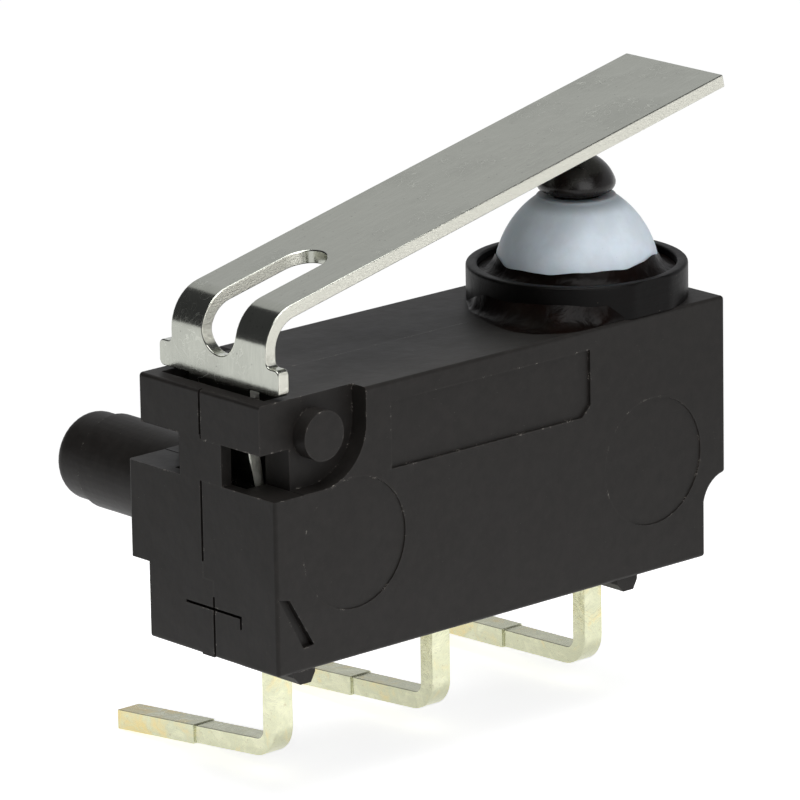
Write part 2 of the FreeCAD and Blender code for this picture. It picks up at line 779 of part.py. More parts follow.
def make_terminal(name, x, droop, tab_left, tab_right):
    """Terminal: inner tab, upright leg and a foot bent towards the board.
    droop is how far the foot hangs below square."""
    body = new_body(name, x=x)
    front, back = "-terminal_thick / 2", "terminal_thick / 2"
    fall = f"tan({droop})"

    def top_z(y, extra="0"):
        return f"terminal_inner_corner + {extra} - (({y}) - terminal_thick / 2) * {fall}"

    def low_z(y, extra="0"):
        return f"{top_z(y)} - terminal_thick / cos({droop}) - {extra}"

    bend = [
        (back, "cavity_floor"),
        (front, "cavity_floor"),
        (front, low_z(front)),
        ("coined_start", low_z("coined_start")),
        ("coined_start", top_z("coined_start")),
        (back, top_z(back)),
    ]
    half = "terminal_wide / 2"
    add(body, "YZ", "bent_leg", [bend], f"-{half}", half)
    dress("Fillet", body, "bend_inside", "terminal_bend_inner",
          lambda edge: runs_along(edge, "X")
          and edge_at(edge, 1e-3, y=back, z="terminal_inner_corner"))
    dress("Fillet", body, "bend_outside", "terminal_bend_outer",
          lambda edge: runs_along(edge, "X") and edge_at(edge, 1e-3, y=front, z=low_z(front)))
    coined = [(y, low_z(y, "coined_extra / 2")) for y in ("coined_start - 0.1", "terminal_tip")]
    coined += [(y, top_z(y, "coined_extra / 2")) for y in ("terminal_tip", "coined_start - 0.1")]
    wide = f"{half} + coined_extra"
    add(body, "YZ", "coined_end", [coined], f"-({wide})", wide)
    dress("Chamfer", body, "tip_bevel", "tip_chamfer",
          lambda edge: edge_at(edge, 1e-3, y="terminal_tip"))
    add(body, "XY", "inner_tab",
        [box_outline(tab_left, "-tab_half", tab_right, "tab_half")],
        "cavity_floor", "cavity_floor + tab_thick")
    return body


def make_fixed_contact(name, x):
    """Rivet contact on a terminal's tab, with a crowned face."""
    body = new_body(name, x=x, z="cavity_floor + tab_thick")
    turn(body, "rivet", [
        ("0", "0"),
        ("contact_radius", "0"),
        ("contact_radius", "contact_head - contact_crown"),
        ("contact_flat", "contact_head"),
        ("0", "contact_head"),
    ])
    return body


def tilt_with_blade(body):
    """Turn a body about the fulcrum to the blade's angle at rest."""
    body.Placement = FreeCAD.Placement(
        FreeCAD.Vector(0, 0, 0), FreeCAD.Rotation(FreeCAD.Vector(0, -1, 0), 1.0))
    body.setExpression("Placement.Rotation.Angle", sized("rocker_tilt"))


def make_contact_blade():
    """Rocking blade that carries the moving contacts, with ears that lie in the cradle."""
    body = new_body("contact_blade", x=CASE_MID, z=FULCRUM_Z)
    tilt_with_blade(body)
    outline = box_outline("-rocker_arm", "-rocker_half", "rocker_arm", "rocker_half")
    add(body, "XY", "blade", [outline], "0", "blade_thick")
    dress("Fillet", body, "blade_corners", "rocker_round", lambda edge: runs_along(edge, "Z"))
    add(body, "XY", "ears", [box_outline("-ear_half", "-ear_reach", "ear_half", "ear_reach")],
        "0", "blade_thick")
    holes = [((place, "0"), "rivet_radius") for place in ("-contact_arm", "contact_arm")]
    window = box_outline("blade_window_left", "-blade_window_half",
                         "blade_window_right", "blade_window_half")
    cut(body, "XY", "openings", holes + [window], "-1", "blade_thick + 1")
    return body


def make_moving_contact(name, sign):
    """Rivet through the blade, with its crowned face below and its upset head above."""
    body = new_body(name, x=CASE_MID, z=FULCRUM_Z)
    tilt_with_blade(body)
    place = (f"{sign}contact_arm", "0")
    add(body, "XY", "shank", [(place, "rivet_radius")], "-0.1", "blade_thick + 0.1")
    add(body, "XY", "face", [(place, "contact_radius")], "-contact_head", "0")
    add(body, "XY", "upset_head", [(place, "rivet_head_radius")],
        "blade_thick", "blade_thick + rivet_head")
    dress("Chamfer", body, "face_crown", "contact_crown",
          lambda edge: edge_at(edge, 1e-3, z="-contact_head"))
    return body


def make_cradle():
    """Folded saddle on the common terminal: two notched cheeks and the spring anchor."""
    body = new_body("pivot_cradle", x=CASE_MID, z="cavity_floor + tab_thick")
    fulcrum = f"{FULCRUM_Z} - cavity_floor - tab_thick"
    outer = "cradle_cheek + cradle_thick"
    add(body, "XY", "saddle",
        [box_outline("-cradle_half", f"-({outer})", "cradle_half", outer)], "0", "cradle_thick")
    notch_floor = f"{fulcrum} - notch_gap"
    cheek = [
        ("-cradle_half", "0"),
        ("cradle_half", "0"),
        ("cradle_half", f"{fulcrum} + cradle_rise"),
        ("notch_half", f"{fulcrum} + cradle_rise"),
        ("notch_half", notch_floor),
        ("-notch_half", notch_floor),
        ("-notch_half", f"{fulcrum} + cradle_rise"),
        ("-cradle_half", f"{fulcrum} + cradle_rise"),
    ]
    add(body, "XZ", "front_cheek", [cheek], f"-({outer})", "-cradle_cheek")
    add(body, "XZ", "rear_cheek", [cheek], "cradle_cheek", outer)
    add(body, "XZ", "spring_anchor",
        [box_outline("anchor_left", "0", "anchor_right", f"{fulcrum} + anchor_rise")],
        "-anchor_half", "anchor_half")
    return body


def make_snap_spring():
    """Bowed leaf between the blade's window and the cradle's anchor."""
    body = new_body("snap_spring", x=CASE_MID, z=FULCRUM_Z)
    tilt_with_blade(body)
    middle = "(snap_left + snap_right) / 2"
    strip = [
        ("snap_left", "snap_foot"),
        {"via": (middle, "snap_bow")},
        ("snap_right", "snap_foot"),
        ("snap_right - snap_thick", "snap_foot"),
        {"via": (middle, "snap_bow - snap_thick")},
        ("snap_left + snap_thick", "snap_foot"),
    ]
    add(body, "XZ", "bowed_strip", [strip], "-snap_half", "snap_half")
    return body


def make_base_resin():
    """Sealing resin poured round the terminals in the underside of the case."""
    body = new_body("base_resin")
    add(body, "XY", "pour",
        [box_outline("trough_left", "-base_step", "trough_right", "trough_back")],
        "0", "resin_trough")
    legs = [box_outline(f"{x} - terminal_wide / 2", "-terminal_thick / 2",
                        f"{x} + terminal_wide / 2", "terminal_thick / 2")
            for x in terminal_places()]
    cut(body, "XY", "leg_passages", legs, "-1", "resin_trough + 1")
    return body


closed_x, common_x, open_x = terminal_places()
contact_left = f"({CASE_MID} - contact_arm)"
contact_right = f"({CASE_MID} + contact_arm)"
reach = f"(terminal_pitch - contact_arm + tab_overhang)"
pieces = [
    make_rear_case(),
    make_front_cover(),
    make_lever(),
    make_plunger(),
    make_boot(),
    make_collar(),
    make_boot_resin(),
    make_resin_bead(),
    make_return_spring(),
    make_terminal("normally_closed_terminal", closed_x, "closed_droop",
                  "-terminal_wide / 2", reach),
    make_terminal("common_terminal", common_x, "common_droop", "-tab_half", "tab_half"),
    make_terminal("normally_open_terminal", open_x, "open_droop",
                  f"-{reach}", "terminal_wide / 2"),
    make_fixed_contact("normally_closed_contact", contact_left),
    make_fixed_contact("normally_open_contact", contact_right),
    make_cradle(),
    make_contact_blade(),
    make_moving_contact("moving_closed_contact", "-"),
    make_moving_contact("moving_open_contact", ""),
    make_snap_spring(),
    make_base_resin(),
]

doc.recompute()
for item in doc.Objects:
    if "Invalid" in item.State or "Error" in item.State:
        raise RuntimeError(f"{item.Label} did not compute: {item.State}")
for piece in pieces:
    if piece.Shape.isNull() or not piece.Shape.isValid():
        raise RuntimeError(f"{piece.Label} has no valid shape")
    if len(piece.Shape.Solids) != 1:
        raise RuntimeError(f"{piece.Label} has {len(piece.Shape.Solids)} solids")

os.makedirs("parts", exist_ok=True)
for piece in pieces:
    piece.Shape.exportStep(os.path.join("parts", piece.Label + ".step"))
    print(f"{piece.Label}: {piece.Shape.Volume:.4f} cubic millimetres")
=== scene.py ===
import math

import bmesh
import bpy
from bpy.props import FloatProperty, FloatVectorProperty, IntProperty, PointerProperty
from bpy.types import Operator, Panel, PropertyGroup
from mathutils import Matrix, Vector, noise


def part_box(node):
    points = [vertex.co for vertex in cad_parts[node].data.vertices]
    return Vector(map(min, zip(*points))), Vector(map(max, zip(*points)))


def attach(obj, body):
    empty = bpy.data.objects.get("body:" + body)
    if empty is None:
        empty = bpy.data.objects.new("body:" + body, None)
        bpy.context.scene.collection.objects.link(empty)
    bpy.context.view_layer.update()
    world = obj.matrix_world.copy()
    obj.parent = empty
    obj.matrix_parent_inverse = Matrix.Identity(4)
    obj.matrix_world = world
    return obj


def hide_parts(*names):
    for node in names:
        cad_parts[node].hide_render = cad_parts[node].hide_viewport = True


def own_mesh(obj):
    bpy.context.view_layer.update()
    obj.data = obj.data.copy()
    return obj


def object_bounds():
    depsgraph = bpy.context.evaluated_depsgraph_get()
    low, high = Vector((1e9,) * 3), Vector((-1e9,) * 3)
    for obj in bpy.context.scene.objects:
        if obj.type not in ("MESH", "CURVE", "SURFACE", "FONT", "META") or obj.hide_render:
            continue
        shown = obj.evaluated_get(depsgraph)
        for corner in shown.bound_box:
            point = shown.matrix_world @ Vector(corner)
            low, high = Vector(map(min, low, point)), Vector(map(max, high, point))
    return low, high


bl_info = {
    "name": "Sealed Lever Switch",
    "version": (1, 0, 0),
    "blender": (4, 5, 0),
    "location": "3D View > Sidebar > Switch",
    "description": "Dresses a sealed leaf-lever switch in moulded, rolled and plated finishes",
    "category": "Object",
}

MM = 0.001
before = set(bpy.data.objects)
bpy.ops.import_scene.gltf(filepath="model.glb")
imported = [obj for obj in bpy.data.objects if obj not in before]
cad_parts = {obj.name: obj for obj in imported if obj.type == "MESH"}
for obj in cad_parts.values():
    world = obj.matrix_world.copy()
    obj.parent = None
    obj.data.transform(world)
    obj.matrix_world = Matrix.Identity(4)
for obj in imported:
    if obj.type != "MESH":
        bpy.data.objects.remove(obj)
CAD_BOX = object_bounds()

# Millimetres on the case drawing, which starts at the foot of the lever end, on the plane
# midway between front and back. The model's own origin lies on the board face, midway
# between the pegs.
CASE_MIDDLE = 7.3
CASE_HALF_WIDTH = 2.65
CASE_TOP = 6.5
PEG_HEIGHT = 3.0
PEG_OFFSET = 4.85
PEG_RADIUS = 1.18
PEG_TIP_RADIUS = 1.1
PLUNGER_X = 12.15
SHOULDER_LOW = 8.4
COLLAR_RADIUS = 2.72
BEAD_INSIDE = 2.73
SPRING_RADIUS = 0.86

# The camera of the picture: sensor width in millimetres, focal length and width in pixels.
SENSOR_WIDTH = 36
FOCAL_PIXELS = 7306.6
PICTURE_PIXELS = 800


def place(x, y, z):
    """A point of the case drawing, in millimetres, as a point of the model in metres."""
    return Vector((x - CASE_MIDDLE, y - CASE_HALF_WIDTH, z - PEG_HEIGHT)) * MM


class CaseSettings(PropertyGroup):
    colour: FloatVectorProperty(
        name="Plastic", description="Colour of the moulded case", subtype="COLOR",
        default=(0.0120, 0.0106, 0.0096), min=0, max=1)
    dust: FloatVectorProperty(
        name="Dust", description="Colour of the fine specks left on the moulding",
        subtype="COLOR", default=(0.11, 0.10, 0.09), min=0, max=1)


class LeverSettings(PropertyGroup):
    colour: FloatVectorProperty(
        name="Sheet", description="Colour of the rolled nickel silver sheet", subtype="COLOR",
        default=(0.52, 0.535, 0.48), min=0, max=1)
    cut_colour: FloatVectorProperty(
        name="Cut edge", description="Colour of the sheared edges", subtype="COLOR",
        default=(0.80, 0.79, 0.70), min=0, max=1)
    edge: FloatProperty(
        name="Edge break", description="Width of the broken edge left by shearing",
        default=0.025 * MM, min=0, unit="LENGTH")


class BootSettings(PropertyGroup):
    rubber: FloatVectorProperty(
        name="Rubber", description="Colour of the silicone boot", subtype="COLOR",
        default=(0.57, 0.635, 0.70), min=0, max=1)
    plunger: FloatVectorProperty(
        name="Plunger", description="Colour of the plunger head", subtype="COLOR",
        default=(0.0062, 0.0044, 0.0036), min=0, max=1)
    collar: FloatVectorProperty(
        name="Collar", description="Colour of the collar round the boot", subtype="COLOR",
        default=(0.0011, 0.0007, 0.0006), min=0, max=1)
    resin: FloatVectorProperty(
        name="Resin", description="Colour of the sealing resin", subtype="COLOR",
        default=(0.0022, 0.0012, 0.0009), min=0, max=1)
    wire: FloatProperty(
        name="Spring wire", description="Diameter of the return spring's wire",
        default=0.2 * MM, min=0.01 * MM, unit="LENGTH")
    turns: IntProperty(
        name="Spring turns", description="Turns of the return spring", default=4, min=2, max=12)


class TerminalSettings(PropertyGroup):
    colour: FloatVectorProperty(
        name="Plating", description="Colour of the plated terminals", subtype="COLOR",
        default=(0.66, 0.665, 0.48), min=0, max=1)
    stain: FloatVectorProperty(
        name="Stain", description="Warmer colour of the worn plating", subtype="COLOR",
        default=(0.70, 0.57, 0.24), min=0, max=1)
    edge: FloatProperty(
        name="Edge break", description="Width of the rounding on the terminal edges",
        default=0.045 * MM, min=0, unit="LENGTH")


class StageSettings(PropertyGroup):
    azimuth: FloatProperty(
        name="Azimuth", description="Angle of the camera from the front towards the lever end",
        default=math.radians(41.625), subtype="ANGLE")
    elevation: FloatProperty(
        name="Elevation", description="Angle of the camera above the case",
        default=math.radians(15.697), subtype="ANGLE")
    roll: FloatProperty(
        name="Roll", description="Tilt of the picture", default=math.radians(-0.995),
        subtype="ANGLE")
    distance: FloatProperty(
        name="Distance", description="From the camera to the middle of the switch",
        default=175.31 * MM, min=0.01, unit="LENGTH")
    lens: FloatProperty(
        name="Lens", description="Focal length of the camera in millimetres",
        default=SENSOR_WIDTH * FOCAL_PIXELS / PICTURE_PIXELS, min=10)
    walls: FloatProperty(
        name="Walls", description="Brightness of the studio's pale walls", default=0.62, min=0)
    ceiling: FloatProperty(
        name="Ceiling", description="Brightness of the studio above the walls", default=0.05, min=0)
    key_power: FloatProperty(
        name="Key light", description="Power in watts that the softboxes take shares of",
        default=0.026, min=0)


class Wire:
    """A socket that can be used in sums and products."""

    def __init__(self, board, socket):
        self.board = board
        self.socket = socket

    def maths(self, operation, *values):
        return self.board.make("ShaderNodeMath", {"operation": operation},
                               dict(enumerate(values)))

    def __add__(self, other):
        return self.maths("ADD", self, other)

    __radd__ = __add__

    def __sub__(self, other):
        return self.maths("SUBTRACT", self, other)

    def __rsub__(self, other):
        return self.maths("SUBTRACT", other, self)

    def __mul__(self, other):
        return self.maths("MULTIPLY", self, other)

    __rmul__ = __mul__

    def __abs__(self):
        return self.maths("ABSOLUTE", self)

    def larger(self, other):
        return self.maths("MAXIMUM", self, other)

    def between(self, low, high):
        """0 below low, 1 above high, and a smooth rise between them."""
        return self.board.make("ShaderNodeMapRange", {"interpolation_type": "SMOOTHSTEP"},
                               {"Value": self, "From Min": low, "From Max": high})


class Board:
    """A node tree that takes its nodes one by one."""

    def __init__(self, tree):
        self.tree = tree

    def make(self, kind, settings=None, values=None, output=0):
        """Add a node with its settings, then set or link its sockets."""
        node = self.tree.nodes.new(kind)
        for key, value in (settings or {}).items():
            setattr(node, key, value)
        for key, value in (values or {}).items():
            self.plug(node.inputs[key], value)
        return Wire(self, node.outputs[output])

    def plug(self, socket, value):
        """Link a wire to a socket, or set the socket to a number, vector or colour."""
        if isinstance(value, Wire):
            self.tree.links.new(value.socket, socket)
        elif socket.type == "RGBA" and len(value) == 3:
            socket.default_value = (*value, 1.0)
        else:
            socket.default_value = value

    def parts(self, vector):
        """The X, Y and Z of a vector."""
        split = self.make("ShaderNodeSeparateXYZ", {}, {0: vector})
        return [Wire(self, output) for output in split.socket.node.outputs]


class Finish(Board):
    """Builds one material, node by node."""

    def __init__(self, name, **constants):
        self.material = bpy.data.materials.new(name)
        self.material.use_nodes = True
        super().__init__(self.material.node_tree)
        self.shader = self.tree.nodes["Principled BSDF"]
        for socket, value in constants.items():
            self.shader.inputs[socket.replace("_", " ")].default_value = value

    def point(self):
        """Position on the piece at rest, in millimetres."""
        coordinates = self.make("ShaderNodeTexCoord", output=3)
        return self.make("ShaderNodeVectorMath", {"operation": "SCALE"},
                         {0: coordinates, "Scale": 1000.0})

    def facing(self):
        """The surface's own direction on the piece, as X, Y and Z parts."""
        coordinates = self.make("ShaderNodeTexCoord", output=1)
        return self.parts(coordinates)

    def corners(self, radius):
        """One on the edges of the form, nought on its open faces."""
        eased = self.make("ShaderNodeBevel", {"samples": 4}, {"Radius": radius})
        plain = self.make("ShaderNodeNewGeometry", output=1)
        same = self.make("ShaderNodeVectorMath", {"operation": "DOT_PRODUCT"},
                         {0: eased, 1: plain}, output=1)
        return (1 - same).between(0.02, 0.12)

    def stretched(self, vector, scale):
        """A place with each of its parts scaled, which stretches the pattern that reads it."""
        return self.make("ShaderNodeVectorMath", {"operation": "MULTIPLY"}, {0: vector, 1: scale})

    def grain(self, vector, scale, detail, roughness=0.5, distortion=0.0):
        """Soft noise from nought to one."""
        return self.make("ShaderNodeTexNoise", {}, {
            "Vector": vector, "Scale": scale, "Detail": detail, "Roughness": roughness,
            "Distortion": distortion})

    def specks(self, vector, scale, small, large):
        """One in the middle of scattered dots, nought between them."""
        cells = self.make("ShaderNodeTexVoronoi", {}, {"Vector": vector, "Scale": scale})
        return 1 - cells.between(small, large)

    def mix(self, factor, first, second):
        """A colour part of the way from first to second."""
        return self.make("ShaderNodeMix", {"data_type": "RGBA"},
                         {0: factor, 6: first, 7: second}, output=2)

    def relief(self, height, distance, strength, after=None):
        """Bumps of a height that varies from nought to one, on top of any earlier bumps."""
        values = {"Height": height, "Distance": distance, "Strength": strength}
        if after:
            values["Normal"] = after
        return self.make("ShaderNodeBump", {}, values)

    def feed(self, **sockets):
        """Give the shader what changes over the surface, and return the material."""
        for name, value in sockets.items():
            self.plug(self.shader.inputs[name.replace("_", " ")], value)
        return self.material


def shade(colour, share):
    """The same colour, darker below a share of one and lighter above it."""
    return [min(1, part * share) for part in colour]


def case_finish(settings):
    """Glass-filled plastic: fine matte grain, pale specks, soft flow marks, and painted highlights
    and glints along the edges.
    """
    finish = Finish("case_plastic", Specular_IOR_Level=0.2)
    where = finish.point()
    cloud = finish.grain(where, 0.55, 4.0, 0.6)
    mottle = finish.grain(where, 3.2, 5.0, 0.65)
    fine = finish.grain(where, 22.0, 3.0, 0.6)
    specks = finish.specks(where, 4.0, 0.02, 0.05)
    thinned = finish.grain(where, 1.4, 2.0).between(0.5, 0.66)
    lint = finish.specks(finish.stretched(where, (1.0, 1.0, 3.2)), 1.9, 0.02, 0.045)
    dust = (specks * thinned).larger(lint * 0.7)
    base = finish.mix(mottle.between(0.3, 0.75), shade(settings.colour, 0.84),
                      shade(settings.colour, 1.2))
    corner = finish.corners(0.07 * MM)
    # Painted glints: pale flecks scattered along the edges, where light would catch them.
    edge_glints = corner * mottle.between(0.54, 0.62) * fine.between(0.5, 0.6)
    # Painted highlight: the edges lighter in places, standing in for light on rounded edges.
    edge_highlight = corner * cloud.between(0.35, 0.6)
    base = finish.mix(edge_highlight * 0.5, base, shade(settings.colour, 2.6))
    base = finish.mix(edge_glints * 0.8, base, (0.30, 0.28, 0.25))
    base = finish.mix(dust * 0.55, base, settings.dust)
    rough = 0.40 + 0.10 * mottle + 0.10 * cloud - 0.07 * edge_highlight
    bump = finish.relief(fine, 0.0007 * MM, 0.5)
    bump = finish.relief(mottle, 0.006 * MM, 0.5, bump)
    bump = finish.relief(cloud, 0.07 * MM, 0.5, bump)
    return finish.feed(Base_Color=base, Roughness=rough, Normal=bump)


def sheet_finish(name, colour, cut_colour, along):
    """Rolled sheet: streaks along the grain, tiny pits and paler sheared edges on the Y sides."""
    finish = Finish(name, Metallic=1.0)
    where = finish.point()
    streak = finish.grain(finish.stretched(where, along), 1.0, 5.0, 0.65)
    hair = finish.grain(finish.stretched(where, [part * 4 for part in along]), 1.0, 3.0, 0.7)
    stain = finish.grain(where, 0.7, 4.0, 0.6)
    pits = finish.specks(where, 4.2, 0.05, 0.11)
    _, side, _ = finish.facing()
    sheared = abs(side).between(0.6, 0.85)
    base = finish.mix(streak.between(0.3, 0.7), shade(colour, 0.96), shade(colour, 1.03))
    base = finish.mix(stain.between(0.42, 0.72) * 0.4, base, shade(colour, 0.74))
    base = finish.mix(pits * 0.5, base, shade(colour, 0.35))
    base = finish.mix(sheared * 0.85, base, cut_colour)
    curl = finish.grain(where, 1.6, 1.0, 0.4, 2.2)
    scratch = (1 - abs(curl - 0.5).between(0.0, 0.012)) * stain.between(0.45, 0.6)
    base = finish.mix(scratch * 0.5, base, shade(colour, 1.5))
    rough = 0.11 + 0.02 * streak + 0.10 * stain + 0.16 * sheared + 0.12 * scratch
    bump = finish.relief(hair, 0.0004 * MM, 0.5)
    bump = finish.relief(streak, 0.0012 * MM, 0.45, bump)
    bump = finish.relief(stain, 0.02 * MM, 0.5, bump)
    torn = finish.grain(finish.stretched(where, (9.0, 1.0, 26.0)), 1.0, 4.0, 0.7)
    bump = finish.relief(torn * sheared, 0.03 * MM, 0.7, bump)
    return finish.feed(Base_Color=base, Roughness=rough, Normal=bump)


def plating_finish(settings):
    """Bright plating over brass: drawn lines, stains, and warm worn patches near the tips."""
    finish = Finish("terminal_plating", Metallic=1.0)
    where = finish.point()
    _, reach, _ = finish.parts(where)
    patch = finish.grain(where, 1.5, 4.0, 0.6, 0.6)
    drawn = finish.grain(finish.stretched(where, (12.0, 1.2, 12.0)), 1.0, 4.0, 0.6)
    small = finish.grain(where, 9.0, 3.0, 0.6)
    tips = reach.between(0.2, 2.6)
    warm = (patch + tips * 0.24).between(0.52, 0.82)
    dull = patch.between(0.38, 0.5) * (1 - warm)
    red, green, blue = settings.colour
    base = finish.mix(drawn.between(0.3, 0.7), shade(settings.colour, 0.92), settings.colour)
    base = finish.mix(dull * 0.35, base, (red * 0.72, green * 0.74, blue * 0.70))
    base = finish.mix(warm * 0.75, base, settings.stain)
    base = finish.mix(small.between(0.62, 0.74) * 0.35, base, shade(settings.stain, 0.5))
    rough = 0.15 + 0.08 * drawn + 0.10 * patch
    bump = finish.relief(drawn, 0.003 * MM, 0.5)
    bump = finish.relief(patch, 0.06 * MM, 0.6, bump)
    return finish.feed(Base_Color=base, Roughness=rough, Normal=bump)


def rubber_finish(settings):
    """Milky silicone with a faint bloom and specks, with painted shade towards its foot and a
    painted shadow just under the plunger head.
    """
    finish = Finish("boot_rubber", Specular_IOR_Level=0.45, Subsurface_Weight=0.25,
                    Subsurface_Scale=0.4 * MM)
    where = finish.point()
    bloom = finish.grain(where, 1.3, 4.0, 0.6)
    fine = finish.grain(where, 16.0, 3.0, 0.6)
    specks = finish.specks(where, 3.6, 0.03, 0.07)
    _, _, height = finish.parts(where)
    # Painted shade: the rubber darker towards its foot beside the collar, and much darker just
    # under the plunger head as a painted shadow.
    foot = 1 - height.between(4.1, 5.0)
    neck_shadow = height.between(5.72, 6.02)
    base = finish.mix(bloom.between(0.35, 0.7), shade(settings.rubber, 0.93),
                      shade(settings.rubber, 1.05))
    for mask, share in ((foot * 0.3, 0.72), (neck_shadow * 0.75, 0.3), (specks * 0.25, 0.5)):
        base = finish.mix(mask, base, shade(settings.rubber, share))
    bump = finish.relief(bloom, 0.05 * MM, 0.4)
    bump = finish.relief(fine, 0.006 * MM, 0.5, bump)
    return finish.feed(Base_Color=base, Roughness=0.44 + 0.14 * bloom, Normal=bump)


def satin_finish(name, colour, rough, sheen):
    """Dark smooth plastic with faint rings, rub marks and a few pale specks."""
    finish = Finish(name, Specular_IOR_Level=sheen)
    where = finish.point()
    rub = finish.grain(where, 2.2, 5.0, 0.62)
    rings = finish.grain(finish.stretched(where, (0.6, 0.6, 11.0)), 1.0, 3.0, 0.6)
    specks = finish.specks(where, 4.6, 0.03, 0.075)
    base = finish.mix(rub.between(0.35, 0.7), shade(colour, 0.7), shade(colour, 1.3))
    base = finish.mix(specks * 0.5, base, (0.12, 0.10, 0.085))
    bump = finish.relief(rings, 0.015 * MM, 0.4)
    bump = finish.relief(rub, 0.03 * MM, 0.5, bump)
    return finish.feed(Base_Color=base, Roughness=rough + 0.16 * rub, Normal=bump)


def resin_finish(settings):
    """Cured resin, nearly black, with small waves and red-brown thin places."""
    finish = Finish("sealing_resin", Specular_IOR_Level=0.08)
    where = finish.point()
    wave = finish.grain(where, 1.9, 3.0, 0.5, 0.4)
    small = finish.grain(where, 7.0, 3.0, 0.6)
    red, green, blue = settings.resin
    base = finish.mix(wave.between(0.4, 0.75), settings.resin,
                      (red * 2.0, green * 1.5, blue * 1.3))
    bump = finish.relief(wave, 0.09 * MM, 0.6)
    bump = finish.relief(small, 0.008 * MM, 0.5, bump)
    return finish.feed(Base_Color=base, Roughness=0.26 + 0.14 * small, Normal=bump)


def new_object(name, mesh, body, slot, material, *nodes):
    """Link a finished mesh into the scene as a piece, and hide the CAD nodes that it stands for."""
    piece = bpy.data.objects.new(name, mesh)
    bpy.context.scene.collection.objects.link(piece)
    mesh.materials.clear()
    mesh.materials.append(material)
    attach(piece, body)
    if nodes:
        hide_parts(*nodes)
    return piece


def paint(node, material):
    """Give a CAD node a finish without touching its mesh."""
    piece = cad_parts[node]
    for slot in piece.material_slots:
        slot.material = material


def smooth(mesh, angle):
    """Shade smooth, and keep edges sharper than the angle, in degrees, crisp."""
    for face in mesh.polygons:
        face.use_smooth = True
    mesh.set_sharp_from_angle(angle=math.radians(angle))


def eased_copy(node, name, body, slot, material, edge, segments=2, angle=30.0, shape=None):
    """A copy of a CAD node's form, with its sharp edges eased where edge has a width."""
    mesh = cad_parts[node].data.copy()
    mesh.name = name
    work = bmesh.new()
    work.from_mesh(mesh)
    bmesh.ops.remove_doubles(work, verts=work.verts, dist=1e-7)
    bmesh.ops.dissolve_limit(work, angle_limit=math.radians(0.6), verts=work.verts,
                             edges=work.edges)
    if shape:
        shape(work)
    work.to_mesh(mesh)
    work.free()
    if "custom_normal" in mesh.attributes:
        mesh.attributes.remove(mesh.attributes["custom_normal"])
    piece = new_object(name, mesh, body, slot, material, node)
    smooth(mesh, angle)
    if edge > 0:
        ease = piece.modifiers.new("eased edges", "BEVEL")
        ease.width = edge
        ease.segments = segments
        ease.limit_method = "ANGLE"
        ease.angle_limit = math.radians(angle)
        ease.use_clamp_overlap = True
    flat = piece.modifiers.new("flat faces", "WEIGHTED_NORMAL")
    flat.mode = "FACE_AREA"
    flat.weight = 100
    flat.keep_sharp = True


def arc_through(first, via, last, steps):
    """Points from first to last along the circle through via, without the last one."""
    (x1, y1), (x2, y2), (x3, y3) = first, via, last
    spread = 2 * (x1 * (y2 - y3) + x2 * (y3 - y1) + x3 * (y1 - y2))
    q1, q2, q3 = x1 * x1 + y1 * y1, x2 * x2 + y2 * y2, x3 * x3 + y3 * y3
    cx = (q1 * (y2 - y3) + q2 * (y3 - y1) + q3 * (y1 - y2)) / spread
    cy = (q1 * (x3 - x2) + q2 * (x1 - x3) + q3 * (x2 - x1)) / spread
    radius = math.hypot(x1 - cx, y1 - cy)
    start, middle, end = (math.atan2(y - cy, x - cx) for x, y in (first, via, last))
    turn = (end - start) % math.tau
    if (middle - start) % math.tau > turn:
        turn -= math.tau
    return [(cx + radius * math.cos(start + turn * i / steps),
             cy + radius * math.sin(start + turn * i / steps)) for i in range(steps)]


def softened(points, radius, steps=4):
    """Round the corners of an outline. A corner is (r, z) or (r, z, own radius)."""
    result = []
    count = len(points)
    for index, corner in enumerate(points):
        here = Vector(corner[:2])
        own = corner[2] if len(corner) > 2 else radius
        before = Vector(points[index - 1][:2]) - here
        after = Vector(points[(index + 1) % count][:2]) - here
        if own <= 0 or before.length < 1e-9 or after.length < 1e-9:
            result.append(tuple(here))
            continue
        reach = min(own, before.length * 0.45, after.length * 0.45)
        start = here + before.normalized() * reach
        end = here + after.normalized() * reach
        for step in range(steps + 1):
            t = step / steps
            result.append(tuple((1 - t) ** 2 * start + 2 * t * (1 - t) * here + t * t * end))
    return result


def skin(work, rows):
    """Join closed rows of points into a tube with both ends shut."""
    for row, following in zip(rows, rows[1:]):
        for part in range(len(row)):
            ahead = (part + 1) % len(row)
            work.faces.new((row[part], row[ahead], following[ahead], following[part]))
    work.faces.new(rows[0])
    work.faces.new(rows[-1])


def turned(name, outline, centre, rounds=96, warp=None):
    """Mesh of an outline of (radius, height), in millimetres, turned about an upright axis.

    A warp takes a point's radius, height and angle and gives its new radius and height.
    """
    mesh = bpy.data.meshes.new(name)
    work = bmesh.new()
    rings = []
    for radius, height in outline:
        if radius < 1e-6:
            rings.append([work.verts.new(centre + Vector((0, 0, height)) * MM)])
            continue
        ring = []
        for step in range(rounds):
            turn = math.tau * step / rounds
            r, z = warp(radius, height, turn) if warp else (radius, height)
            ring.append(work.verts.new(
                centre + Vector((r * math.cos(turn), r * math.sin(turn), z)) * MM))
        rings.append(ring)
    for index, ring in enumerate(rings):
        following = rings[(index + 1) % len(rings)]
        if len(ring) == 1 and len(following) == 1:
            continue
        for step in range(rounds):
            ahead = (step + 1) % rounds
            corners = [ring[step % len(ring)], ring[ahead % len(ring)],
                       following[ahead % len(following)], following[step % len(following)]]
            unique = [v for i, v in enumerate(corners) if v not in corners[:i]]
            if len(unique) > 2:
                work.faces.new(unique)
    bmesh.ops.remove_doubles(work, verts=work.verts, dist=1e-8)
    bmesh.ops.recalc_face_normals(work, faces=work.faces)
    work.to_mesh(mesh)
    work.free()
    smooth(mesh, 50)
    return mesh


def plunger_axis():
    """Foot of the plunger's axis in the model, at the case drawing's zero height."""
    return place(PLUNGER_X, 0, 0)


